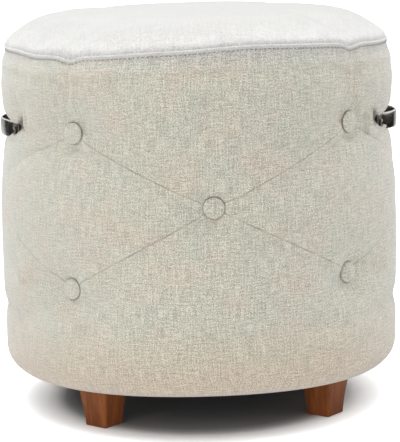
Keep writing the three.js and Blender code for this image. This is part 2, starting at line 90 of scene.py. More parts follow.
# The opening behind a strap: its roof steps up over the feet, and its sill climbs there, with a puff before
ROOF_SHARE = 0.7
ROOF_STEP = 0.0155
ROOF_STEP_TURNS = (0.34, 0.51)
ROOF_LIP = (0.0, 0.0035)
SILL_CLIMB = 0.029
SILL_PUFF = 0.0045
SILL_PUFF_TURN = 0.32
SILL_PUFF_SPREAD = 0.07
SILL_LIP = (-0.001, 0.004)


# Sizes and colours


def number(name, description, default, **kind):
    return bpy.props.FloatProperty(name=name, description=description, default=default, **kind)


def length(name, description, default):
    return number(name, description, default, unit="LENGTH", precision=4)


def angle(name, description, degrees):
    return number(name, description, math.radians(degrees), unit="ROTATION")


def colour(name, description, default):
    return bpy.props.FloatVectorProperty(
        name=name, description=description, default=default, size=4, subtype="COLOR", min=0, max=1
    )


class TuffetCoverSizes(bpy.types.PropertyGroup):
    body_radius: length("Body Radius", "Half the width of the drum at its widest", 0.2285)
    hem_height: length("Hem Height", "Underside of the cover above the floor", 0.043)
    hem_round: length("Lower Edge", "Radius of the lower edge", 0.025)
    hem_width: length("Hem Width", "Cover turned in under the base", 0.046)
    seam_height: length("Seam Height", "Top seam above the floor at the sides", 0.409)
    crown_rise: length("Crown Rise", "Top seam to the middle of the seat", 0.0475)
    dome_power: number("Dome Squareness", "Power of the dome's curve, where 2 would be an ellipse", 2.5)
    hem_bow: length("Hem Bow", "How much higher the lower edge stands at front and back", 0.0045)
    seam_bow: length("Seam Bow", "How much higher the seam stands at front and back", 0.011)
    seam_dip: length("Seam Dip", "How far the seam dips over a column of buttons", 0.0045)
    seam_dip_spread: length("Dip Spread", "Half width of a dip", 0.013)
    shoulder_drop: length("Shoulder Drop", "How far the top of the side leans in", 0.0095)
    shoulder_length: length("Shoulder Length", "Stretch below the seam that leans in", 0.045)
    waist_depth: length("Waist Depth", "Drawn-in waist at the handles", 0.0055)
    waist_spread: length("Waist Spread", "Height over which the waist fades", 0.052)
    pattern_turn: angle("Pattern Turn", "How far the buttons sit round from the handles", 4)
    middle_row: length("Middle Row", "Height of the middle buttons", 0.2538)
    upper_row: length("Upper Row", "Height of the upper buttons", 0.3328)
    lower_row: length("Lower Row", "Height of the lower buttons", 0.1638)
    dimple_spread: length("Dimple Spread", "Distance over which a dimple fades", 0.013)
    crease_depth: length("Crease Depth", "Depth of the folds between buttons", 0.0042)
    crease_spread: length("Crease Spread", "Half width of a fold", 0.009)
    hollow_depth: length("Hollow Depth", "Cover drawn in behind a handle", 0.0166)
    hollow_half_span: angle("Hollow Half Span", "Handle centre line to the edge of its hollow", 26.9)
    hollow_fade: angle("Hollow Edge", "Turn over which the hollow's edge folds out", 2.7)
    slack: length("Slack", "How much smaller the cover starts before it is blown out", 0.005)
    stuffing: length("Stuffing", "How far the air may push the cover out between the buttons", 0.0065)


class TuffetTrimSizes(bpy.types.PropertyGroup):
    welt_radius: length("Welt Radius", "Radius of the roll in the top seam", 0.0019)
    stitch_length: length("Stitch Length", "Length of a stitch below the welt", 0.0030)
    stitch_pitch: length("Stitch Pitch", "Distance from stitch to stitch", 0.0052)
    button_radius: length("Button Radius", "Radius of a covered button", 0.0115)
    button_back: length("Button Back", "Distance of a button's back from the middle of the drum", 0.2131)
    button_thickness: length("Button Thickness", "Back to crown of a button", 0.006)
    handle_height: length("Handle Height", "Middle of the straps above the floor", 0.3228)
    strap_width: length("Strap Width", "Height of the strap's face", 0.020)
    strap_thickness: length("Strap Thickness", "Thickness of the strap", 0.003)
    strap_crown: number("Strap Crown", "Roundness of the section, from 0 for square to 1 for oval", 0.667)
    leg_turn: angle("Leg Turn", "How far the legs sit round from the handles", 5.5)
    leg_inset: length("Leg Inset", "Leg centre in from the widest part of the drum", 0.052)
    leg_top: length("Leg Top", "Side of a leg at the top", 0.040)
    leg_bottom: length("Leg Bottom", "Side of a leg at the floor", 0.030)
    leg_curve: number("Leg Curve", "Power of the taper, which bows the faces in above 1", 1.5)


class TuffetColours(bpy.types.PropertyGroup):
    linen: colour("Linen", "Main colour of the cover", (0.634, 0.606, 0.499, 1))
    linen_warm: colour("Warm Linen", "Pinkish beige in the cloth", (0.655, 0.57, 0.465, 1))
    # Cloth made darker and browner towards the hem
    linen_hem: colour("Hem Linen", "The cloth near the hem, browned by wear", (0.6435, 0.5347, 0.4085, 1))
    linen_cool: colour("Cool Linen", "Grey-green in the cloth", (0.575, 0.59, 0.485, 1))
    # Painted glare: a washed-out white that stands in for strong light from above
    painted_glare: colour("Painted Glare", "What the seat has faded towards", (0.575, 0.575, 0.565, 1))
    # Painted rim light beside the seam, which lifts the shade under the welt
    painted_rim_light: colour("Painted Rim Light", "The cloth beside the seam, rubbed paler still", (0.65, 0.64, 0.62, 1))
    fold: colour("Fold", "Shade in the folds between the buttons", (0.26, 0.20, 0.13, 1))
    # Painted shade deep in the hollows behind the straps
    painted_hollow_shade: colour("Painted Hollow Shade", "Dark lining behind the straps", (0.045, 0.034, 0.022, 1))
    thread: colour("Thread", "Sewing thread below the welt", (0.30, 0.26, 0.19, 1))
    stain_light: colour("Light Stain", "Light grain of the legs", (0.35, 0.105, 0.022, 1))
    stain_dark: colour("Dark Stain", "Dark grain of the legs", (0.17, 0.044, 0.008, 1))
    nickel: colour("Nickel", "Handles and screws", (0.72, 0.70, 0.66, 1))
    # Painted shade on the strap feet and screws deep in the hollows
    painted_foot_shade: colour("Painted Foot Shade", "Handles and screws deep in the hollows", (0.10, 0.075, 0.05, 1))
    dust_cloth: colour("Dust Cloth", "Cloth under the base", (0.012, 0.012, 0.013, 1))
    floor: colour("Floor", "Floor and backdrop", (0.925, 0.93, 0.94, 1))


def cover_sizes():
    return bpy.context.scene.tuffet_cover


def trim_sizes():
    return bpy.context.scene.tuffet_trim


# Form of the cover, the turn counted from the front towards +X


def bell(x):
    return math.exp(-x * x)


def smooth_step(x, start, end):
    share = min(1.0, max(0.0, (x - start) / (end - start)))
    return share * share * (3 - 2 * share)


def on_spoke(turn, radius, height):
    return Vector((radius * math.sin(turn), -radius * math.cos(turn), height))


def folded_turn(turn):
    """Angle from the nearest panel middle, in the frame of the button pattern."""
    past = turn % (2 * EIGHTH)
    return min(past, 2 * EIGHTH - past)


def between(table, x):
    """Value at x between the rows of a table, eased so that no corner shows."""
    for (start, low), (end, high) in zip(table, table[1:]):
        if x <= end:
            return low + (high - low) * smooth_step(x, start, end)
    return table[-1][1]


def pull_at(pattern, height):
    """How far the cloth was pulled off the even pattern here, in turn and height, evenly between buttons."""
    s = cover_sizes()
    step = abs(pattern) / EIGHTH
    if step >= 2:
        return 0.0, 0.0
    side = "right" if pattern > 0 else "left"
    low, high = BUTTON_PULL[f"lower_front_{side}"], BUTTON_PULL[f"upper_front_{side}"]
    middle = BUTTON_PULL["middle_front"] if step < 1 else (0.0, 0.0)
    rise = min(1.0, max(0.0, (height - s.lower_row) / (s.upper_row - s.lower_row)))
    share = step if step < 1 else 2 - step
    turn, lift = ((1 - share) * m + share * (l + (h - l) * rise) for m, l, h in zip(middle, low, high))
    return math.radians(turn), lift


def pulled(turn, height):
    """Turn and height in the even pattern for a place on the cover, whose front was pulled off it."""
    pattern = (turn - cover_sizes().pattern_turn + math.pi) % FULL_TURN - math.pi
    back_turn, drop = pull_at(pattern, height)
    back_turn, drop = pull_at(pattern - back_turn, height - drop)
    return pattern - back_turn, height - drop


@functools.cache
def seats():
    """Turn and height of every button in the even pattern."""
    s = cover_sizes()
    places = {"middle_front": (0.0, s.middle_row), "middle_back": (math.pi, s.middle_row)}
    for number, corner in enumerate(CORNERS):
        turn = ((2 * number + 1) * EIGHTH + math.pi) % FULL_TURN - math.pi
        places[f"upper_{corner}"] = (turn, s.upper_row)
        places[f"lower_{corner}"] = (turn, s.lower_row)
    return places


def seam_height_at(turn):
    s = cover_sizes()
    pattern = pulled(turn, s.seam_height)[0]
    from_column = s.body_radius * (EIGHTH - folded_turn(pattern))
    bow = s.seam_bow * math.cos(pattern) ** 2
    lift = between(SEAM_LIFT, math.degrees(math.asin(math.sin(turn))))
    return s.seam_height + bow + lift - s.seam_dip * bell(from_column / s.seam_dip_spread)


def drum_radius(height):
    s = cover_sizes()
    waist = s.waist_depth * bell((height - trim_sizes().handle_height) / s.waist_spread)
    lean = min(1.0, max(0.0, (height - s.seam_height + s.shoulder_length) / s.shoulder_length))
    return s.body_radius - waist - s.shoulder_drop * lean**2


def is_side(pattern):
    """The two side panels carry the handles and have no middle button."""
    return abs(math.sin(pattern)) > math.sqrt(0.5)


def crease_distance(across, height):
    """Distance from a diagonal between buttons, or from the pleat over an upper button."""
    s = cover_sizes()
    column = s.body_radius * EIGHTH
    if height > s.upper_row:
        return column - across
    if height < s.lower_row:
        return 1.0
    reach = s.upper_row - s.middle_row if height > s.middle_row else s.middle_row - s.lower_row
    off_line = across * reach - abs(height - s.middle_row) * column
    return abs(off_line) / math.hypot(column, reach)


def tuft_depth_at(pattern, height):
    s = cover_sizes()
    across = s.body_radius * folded_turn(pattern)
    column = s.body_radius * EIGHTH
    share = across / column if is_side(pattern) else 1.0
    if height > s.upper_row:
        share = PLEAT_SHARE
    crease = share * s.crease_depth * math.exp(-crease_distance(across, height) / s.crease_spread)
    t = trim_sizes()
    seat_depth = drum_radius(height) - t.button_back + SINK
    distance = max(0.0, seat_distance(pattern, height) - SEAT_SHARE * t.button_radius)
    return max(crease, seat_depth * math.exp(-distance / s.dimple_spread))


def seat_distance(pattern, height):
    """Distance from the middle of the nearest button."""
    s = cover_sizes()
    across = s.body_radius * folded_turn(pattern)
    column = s.body_radius * EIGHTH
    nearest = min(math.hypot(across - column, height - row) for row in (s.upper_row, s.lower_row))
    return nearest if is_side(pattern) else min(nearest, math.hypot(across, height - s.middle_row))


def hollow_share(turn, height):
    """How much of the hollow behind a handle is felt here, where puffs close in on the strap."""
    s = cover_sizes()
    from_handle = abs(math.asin(max(-1.0, min(1.0, math.cos(turn)))))
    along = 1 - smooth_step(from_handle, s.hollow_half_span, s.hollow_half_span + s.hollow_fade)
    if not along:
        return 0.0
    half = 0.5 * trim_sizes().strap_width
    rise = height - trim_sizes().handle_height
    roof = ROOF_SHARE * half + ROOF_STEP * smooth_step(from_handle, *ROOF_STEP_TURNS)
    puff = SILL_PUFF * bell((from_handle - SILL_PUFF_TURN) / SILL_PUFF_SPREAD)
    sill = SILL_CLIMB * math.sin(from_handle) - half - puff
    return along * (1 - smooth_step(rise - roof, *ROOF_LIP)) * smooth_step(rise - sill, *SILL_LIP)


def cover_radius(turn, height):
    s = cover_sizes()
    tufted = drum_radius(height) - tuft_depth_at(*pulled(turn, height))
    hollow = min(tufted, s.body_radius - s.hollow_depth - SINK)
    return tufted + (hollow - tufted) * hollow_share(turn, height)


# Mesh helpers


def link(name, data):
    piece = bpy.data.objects.new(name, data)
    bpy.context.scene.collection.objects.link(piece)
    return piece


def finish_mesh(bm, name, smooth=True):
    mesh = bpy.data.meshes.new(name)
    bm.to_mesh(mesh)
    bm.free()
    for face in mesh.polygons:
        face.use_smooth = smooth
    return link(name, mesh)


def wrapped_sheet(columns, rows, place):
    """A grid laid round a form, its ends joined: place(u, v) gives the point and the pair kept as UV."""
    bm = bmesh.new()
    uv = bm.loops.layers.uv.new("cloth")
    bmesh.ops.create_grid(bm, x_segments=columns, y_segments=rows, size=0.5)
    laid = {v: place(v.co.x + 0.5, v.co.y + 0.5) for v in bm.verts}
    for face in bm.faces:
        for loop in face.loops:
            loop[uv].uv = laid[loop.vert][1]
    for v, (point, _) in laid.items():
        v.co = point
    bmesh.ops.remove_doubles(bm, verts=bm.verts, dist=1e-6)
    return bm


def crowded(count, low, high, busy):
    """Places from low to high, closer together near the busy ones, given as place, half width and weight."""
    fine = 4000
    marks = [low + (high - low) * n / fine for n in range(fine + 1)]
    sums = [0.0]
    for mark in marks[1:]:
        sums.append(sums[-1] + 1 + sum(weight * bell((mark - spot) / width) for spot, width, weight in busy))
    places, at = [], 0
    for number in range(count + 1):
        wanted = sums[-1] * number / count
        while at < fine and sums[at] < wanted:
            at += 1
        places.append(marks[at])
    return places


def face_outwards(bm, centre):
    """Turns all faces round if most of their area looks towards the centre."""
    bm.normal_update()
    middle = Vector(centre)
    if sum(face.normal.dot(face.calc_center_median() - middle) * face.calc_area() for face in bm.faces) < 0:
        bmesh.ops.reverse_faces(bm, faces=bm.faces)


def close(bm):
    """Fills the ends that are open, and turns all faces outwards."""
    bmesh.ops.holes_fill(bm, edges=[e for e in bm.edges if e.is_boundary], sides=0)
    bmesh.ops.recalc_face_normals(bm, faces=bm.faces)


def ease(bm, edges, width, segments):
    """Rounds the edges over, as sanding and tumbling do."""
    bmesh.ops.bevel(
        bm,
        geom=edges,
        offset=width,
        offset_type="OFFSET",
        segments=segments,
        profile=0.5,
        affect="EDGES",
        material=-1,
    )


def place_on_drum(bm, turn, radius, height):
    """Stands a piece made round Z, its face towards +Z, on the drum so that the face looks outwards."""
    spot = Matrix.Translation(on_spoke(turn, radius, height))
    upright = Euler((math.pi / 2, 0, turn)).to_matrix().to_4x4()
    bmesh.ops.transform(bm, matrix=spot @ upright, verts=bm.verts)


def coat(piece, material):
    piece.data.materials.clear()
    piece.data.materials.append(material)


def wear(piece, material, slot, *nodes):
    coat(piece, material)
    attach(piece, "root")
    if nodes:
        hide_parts(*nodes)


def blow_up(piece, grip, pressure, spare, calming):
    """Lets air push the cloth out, where grip(point) doesn't hold it, by as much as its stuffing allows.

    spare is how much longer the cloth is than the form it starts on, as a share, and calming is how many
    times each move is evened out with its neighbours', which presses small wrinkles flat.
    """
    scene = bpy.context.scene
    last_frame = 20
    furthest = cover_sizes().stuffing
    held = piece.vertex_groups.new(name="held")
    for vertex in piece.data.vertices:
        held.add([vertex.index], grip(vertex.co), "REPLACE")
    rest = [v.co.copy() for v in piece.data.vertices]
    cloth = piece.modifiers.new("cloth", "CLOTH")
    settings = cloth.settings
    settings.quality = 6
    settings.mass = 0.25
    settings.tension_stiffness = 15
    settings.compression_stiffness = 15
    settings.shear_stiffness = 7.5
    settings.bending_stiffness = 1.0
    settings.shrink_min = -spare
    settings.use_pressure = True
    settings.uniform_pressure_force = pressure
    settings.vertex_group_mass = held.name
    settings.effector_weights.gravity = 0
    cloth.collision_settings.use_collision = False
    for number in range(1, last_frame + 1):
        scene.frame_set(number)
    shaped = piece.evaluated_get(bpy.context.evaluated_depsgraph_get())
    moves = [v.co - start for v, start in zip(shaped.data.vertices, rest)]
    moves = [move * min(1.0, furthest / max(move.length, 1e-9)) for move in moves]
    piece.modifiers.remove(cloth)
    piece.vertex_groups.remove(held)
    around = [[] for _ in moves]
    for edge in piece.data.edges:
        first, second = edge.vertices
        around[first].append(second)
        around[second].append(first)
    for _ in range(calming):
        sums = [sum((moves[n] for n in near), Vector()) for near in around]
        moves = [0.5 * move + 0.5 / len(near) * total for move, near, total in zip(moves, around, sums)]
    for vertex, start, move in zip(piece.data.vertices, rest, moves):
        vertex.co = start + move
    scene.frame_set(1)


def subdivide(piece):
    """One pass of subdivision, applied, so that later work reads the finished surface."""
    smoother = piece.modifiers.new("smooth", "SUBSURF")
    smoother.levels = smoother.render_levels = 1
    shaped = piece.evaluated_get(bpy.context.evaluated_depsgraph_get())
    mesh = bpy.data.meshes.new_from_object(shaped)
    piece.modifiers.remove(smoother)
    piece.data = mesh


# Node helpers


def feed(node, sockets):
    """Links or sets a node's inputs by name or number."""
    for key, value in sockets.items():
        if isinstance(value, bpy.types.NodeSocket):
            node.id_data.links.new(value, node.inputs[key])
        else:
            node.inputs[key].default_value = value


def put(tree, kind, sockets=None, **settings):
    made = tree.nodes.new(kind)
    for key, value in settings.items():
        setattr(made, key, value)
    feed(made, sockets or {})
    return made


def joined(kind, sockets, **settings):
    """Adds a node to the tree that its linked inputs come from."""
    source = next(value for value in sockets.values() if isinstance(value, bpy.types.NodeSocket))
    return put(source.id_data, kind, sockets, **settings)


def maths(operation, *values):
    return joined("ShaderNodeMath", dict(enumerate(values)), operation=operation).outputs[0]


def plus(first, second):
    return maths("ADD", first, second)


def minus(first, second):
    return maths("SUBTRACT", first, second)


def times(first, second):
    return maths("MULTIPLY", first, second)


def vector_maths(operation, *values):
    """Gives a number for a length or a distance, and otherwise a vector."""
    made = joined("ShaderNodeVectorMath", dict(enumerate(values)), operation=operation)
    return made.outputs["Value" if operation in ("LENGTH", "DISTANCE") else "Vector"]


def axes(vector):
    return joined("ShaderNodeSeparateXYZ", {0: vector}).outputs


def scaled(vector, x, y, z):
    return joined("ShaderNodeMapping", {"Vector": vector, "Scale": (x, y, z)}).outputs[0]


def noise(vector, scale, detail=2.0, roughness=0.5):
    sockets = {"Vector": vector, "Scale": scale, "Detail": detail, "Roughness": roughness}
    return joined("ShaderNodeTexNoise", sockets).outputs[0]


def remap(value, low, high, to_low=0.0, to_high=1.0):
    sockets = {"Value": value, "From Min": low, "From Max": high, "To Min": to_low, "To Max": to_high}
    return joined("ShaderNodeMapRange", sockets).outputs[0]


def mixed(share, first, second, blend="MIX"):
    sockets = {0: share, 6: first, 7: second}
    return joined("ShaderNodeMix", sockets, data_type="RGBA", blend_type=blend).outputs[2]


def bumped(height, distance, strength=1.0):
    sockets = {"Height": height, "Distance": distance, "Strength": strength}
    return joined("ShaderNodeBump", sockets).outputs[0]


def object_place(tree):
    return put(tree, "ShaderNodeTexCoord").outputs["Object"]


def paint(name, share=1.0):
    """One of the tuffet's colours, made darker or lighter by a share."""
    return tuple(share * x for x in getattr(bpy.context.scene.tuffet_colours, name)[:3]) + (1.0,)


def new_group(name, given, *wanted):
    """A node group that takes one vector and puts out numbers."""
    group = bpy.data.node_groups.new(name, "ShaderNodeTree")
    group.interface.new_socket(given, in_out="INPUT", socket_type="NodeSocketVector")
    for label in wanted:
        group.interface.new_socket(label, in_out="OUTPUT", socket_type="NodeSocketFloat")
    return group, group.nodes.new("NodeGroupInput").outputs[0], group.nodes.new("NodeGroupOutput")


def new_material(name, roughness, metallic=0.0):
    material = bpy.data.materials.new(name)
    material.use_nodes = True
    shader = material.node_tree.nodes["Principled BSDF"]
    feed(shader, {"Roughness": roughness, "Metallic": metallic})
    return material, material.node_tree, shader


# Finishes


@functools.cache
def weave_group():
    """Uneven linen yarns both ways: their tone around a half, their height, and a slow mottle."""
    yarn_pitch = 0.0014
    tree, vector, wanted = new_group("linen_weave", "Vector", "Height", "Mottle", "Tone")
    wander = joined("ShaderNodeTexNoise", {"Vector": vector, "Scale": 45.0, "Detail": 2.0}).outputs[1]
    course = vector_maths("ADD", vector, vector_maths("MULTIPLY", wander, (0.0022, 0.0022, 0.0)))
    ways = [times(way, FULL_TURN / yarn_pitch) for way in axes(course)[:2]]
    over = times(*(maths("SINE", way) for way in ways))
    # Yarns that run thick and thin, one set lying across and one set upright, and the fuzz between them
    across = noise(scaled(course, 70, 560, 1), 1.0, 2.0, 0.6)
    upright = noise(scaled(course, 600, 45, 1), 1.0, 2.0, 0.6)
    fuzz = noise(vector, 760.0, 2.0, 0.85)
    tone = 0.5
    for part, weight in ((across, 1.0), (upright, 1.0), (fuzz, 3.6)):
        tone = plus(tone, times(minus(part, 0.5), weight))
    tone = plus(tone, times(over, 0.06))
    height = plus(tone, times(over, 0.2))
    mottle = noise(scaled(vector, 15, 19, 1), 1.0, 3.0, 0.55)
    feed(wanted, {"Height": height, "Mottle": mottle, "Tone": tone})
    return tree


def fold_group():
    """The tucked folds between the buttons and the rings round them, for painted shade and relief, worked out
    from the cover's UV of turn and height.
    """
    s = cover_sizes()
    tree, place, wanted = new_group("tuft_folds", "UV", "Fold")
    along, height = axes(place)[:2]
    column = s.body_radius * EIGHTH
    across = maths("PINGPONG", along, column)
    drop = maths("ABSOLUTE", minus(height, s.middle_row))
    folds = []
    for reach in (s.upper_row - s.middle_row, s.middle_row - s.lower_row):
        off_line = minus(times(across, reach), times(drop, column))
        distance = maths("ABSOLUTE", maths("DIVIDE", off_line, math.hypot(column, reach)))
        folds.append(remap(distance, 0.0011, 0.0002))
    upper = maths("GREATER_THAN", height, s.middle_row)
    chosen = plus(times(folds[0], upper), times(folds[1], minus(1.0, upper)))
    over_buttons = maths("GREATER_THAN", height, s.upper_row)
    below_upper = maths("LESS_THAN", height, s.upper_row)
    inside = times(below_upper, maths("GREATER_THAN", height, s.lower_row))
    pleat = remap(minus(column, across), 0.0010, 0.0002)
    pleat = times(pleat, remap(height, s.upper_row + 0.055, s.upper_row, 0.15, 0.9))
    result = plus(times(chosen, inside), times(pleat, over_buttons))
    # Painted shade: a dark ring where the cloth goes down behind each button
    spot = joined("ShaderNodeCombineXYZ", {0: across, 1: height}).outputs[0]
    for seat_across, row in ((column, s.upper_row), (column, s.lower_row), (0.0, s.middle_row)):
        ring = remap(vector_maths("DISTANCE", spot, (seat_across, row, 0)), 0.0130, 0.0117)
        result = maths("MAXIMUM", result, times(ring, 1.6))
    # Fainter on the sides, where the folds run out
    frontness = maths("ABSOLUTE", maths("COSINE", times(along, 1 / s.body_radius)))
    feed(wanted, {"Fold": times(result, remap(frontness, 0.1, 0.72))})
    return tree


def spoke_length(objects):
    """Distance from the tuffet's middle line."""
    return vector_maths("LENGTH", vector_maths("MULTIPLY", objects, (1, 1, 0)))


def hollow_shade(objects):
    """Share of the painted shade, deep in the hollows behind the straps."""
    sideways, _, height = axes(objects)
    deep = remap(spoke_length(objects), 0.2175, 0.2140)
    aside = remap(maths("ABSOLUTE", sideways), 0.179, 0.186)
    rise = maths("ABSOLUTE", minus(height, trim_sizes().handle_height))
    return times(times(deep, aside), times(remap(rise, 0.034, 0.026), 0.9))


def linen_material(name, vector_kind, folds=None, glare_share=0.0):
    """vector_kind is UV, in metres along the cloth, or Object; glare_share is how far the colour is mixed
    towards the painted glare.
    """
    material, tree, shader = new_material(name, 0.93)
    places = put(tree, "ShaderNodeTexCoord").outputs
    source, objects = places[vector_kind], places["Object"]
    relief, mottle, tone = joined("ShaderNodeGroup", {0: source}, node_tree=weave_group()).outputs
    base = mixed(remap(mottle, 0.50, 0.68, 0.0, 0.7), paint("linen"), paint("linen_warm"))
    base = mixed(remap(mottle, 0.50, 0.32, 0.0, 0.55), base, paint("linen_cool"))
    if folds:
        # The cloth is a little browner towards the hem, and painted lighter by the seam, lifting the shade
        # under the welt
        level = axes(source)[1]
        base = mixed(remap(level, 0.125, 0.06, 0.0, 0.95), base, paint("linen_hem"))
        base = mixed(remap(level, 0.397, 0.420, 0.0, 0.8), base, paint("painted_rim_light"))
    # Painted light: the weave's tone is calmer on the left, where the light washes it out, and on the seat,
    # calmest in its middle
    calm = remap(axes(objects)[0], -0.19, -0.04, 0.62, 1.0)
    if glare_share:
        # Painted glare: the seat and welt are mixed towards a washed-out white that stands in for strong
        # light from above
        base = mixed(glare_share, base, paint("painted_glare"))
        outwards = spoke_length(objects)
        # Painted rim light towards the seam
        base = mixed(remap(outwards, 0.19, 0.215), base, paint("painted_rim_light"))
        calm = remap(outwards, 0.16, 0.222, 0.13, 0.4)
    half = (0.5, 0.5, 0.5, 1)
    dark = mixed(1.0, base, half, "MULTIPLY")
    pale = mixed(0.5, base, mixed(1.0, base, half, "DIVIDE"))
    base = mixed(plus(0.5, times(minus(tone, 0.5), calm)), dark, pale)
    if folds:
        # Painted shade along the folds and round the buttons, where the relief sinks too
        fold = joined("ShaderNodeGroup", {0: source}, node_tree=folds).outputs[0]
        line = times(fold, remap(noise(source, 60.0), 0.35, 0.6, 0.35, 1.0))
        base = mixed(times(line, 0.6), base, paint("fold"))
        relief = minus(relief, times(line, 3.0))
        # Painted shade deep in the hollows behind the straps
        base = mixed(hollow_shade(objects), base, paint("painted_hollow_shade"))
    feed(shader, {
        "Base Color": base,
        "Normal": bumped(relief, 0.00022, 0.8),
        "Sheen Weight": 0.75,
        "Sheen Roughness": 0.6,
        "Specular IOR Level": 0.25,
    })
    return material


def wood_material():
    material, tree, shader = new_material("stained_leg_wood", 0.38)
    vector = object_place(tree)
    grain = noise(scaled(vector, 260, 260, 9), 1.0, 5.0, 0.6)
    broad = noise(scaled(vector, 60, 60, 6), 1.0, 3.0)
    pores = noise(scaled(vector, 1600, 1600, 60), 1.0)
    tone = plus(times(grain, 0.55), times(broad, 0.45))
    base = mixed(remap(tone, 0.38, 0.62), paint("stain_dark"), paint("stain_light"))
    base = mixed(remap(pores, 0.60, 0.72, 0.0, 0.5), base, paint("stain_dark", 0.5))
    relief = minus(grain, times(pores, 0.4))
    feed(shader, {
        "Base Color": base,
        "Roughness": remap(grain, 0.3, 0.7, 0.42, 0.6),
        "Normal": bumped(relief, 0.00015, 0.5),
        "Specular IOR Level": 0.3,
    })
    return material


def nickel_material():
    material, tree, shader = new_material("polished_nickel", 0.16, 1.0)
    vector = object_place(tree)
    smudge = noise(vector, 60.0, 3.0, 0.6)
    hair = noise(scaled(vector, 90, 90, 2600), 1.0)
    base = mixed(remap(smudge, 0.45, 0.7), paint("nickel"), paint("nickel", 0.86))
    # Painted shade: darker towards the feet, which lie deep in the hollows
    depth = maths("ABSOLUTE", axes(vector)[1])
    feed(shader, {
        "Base Color": mixed(remap(depth, 0.046, 0.058, 0.0, 0.85), base, paint("painted_foot_shade")),
        "Roughness": remap(smudge, 0.3, 0.75, 0.12, 0.30),
        "Normal": bumped(hair, 0.00003, 0.35),
    })
    return material


def speckled_material(name, light, dark, scale, roughness, stretch=(1, 1, 1), metallic=0.0, relief=0.0001):
    """A plain procedural finish for what sits inside or under the tuffet."""
    material, tree, shader = new_material(name, roughness, metallic)
    fleck = noise(scaled(object_place(tree), *stretch), scale, 4.0, 0.6)
    base = mixed(remap(fleck, 0.35, 0.65), dark, light)
    feed(shader, {"Base Color": base, "Normal": bumped(fleck, relief, 0.6)})
    return material


@functools.cache
def foam_material():
    light, dark = (0.80, 0.72, 0.46, 1), (0.62, 0.54, 0.3, 1)
    return speckled_material("cream_foam", light, dark, 900.0, 0.95, relief=0.0004)


# Operators


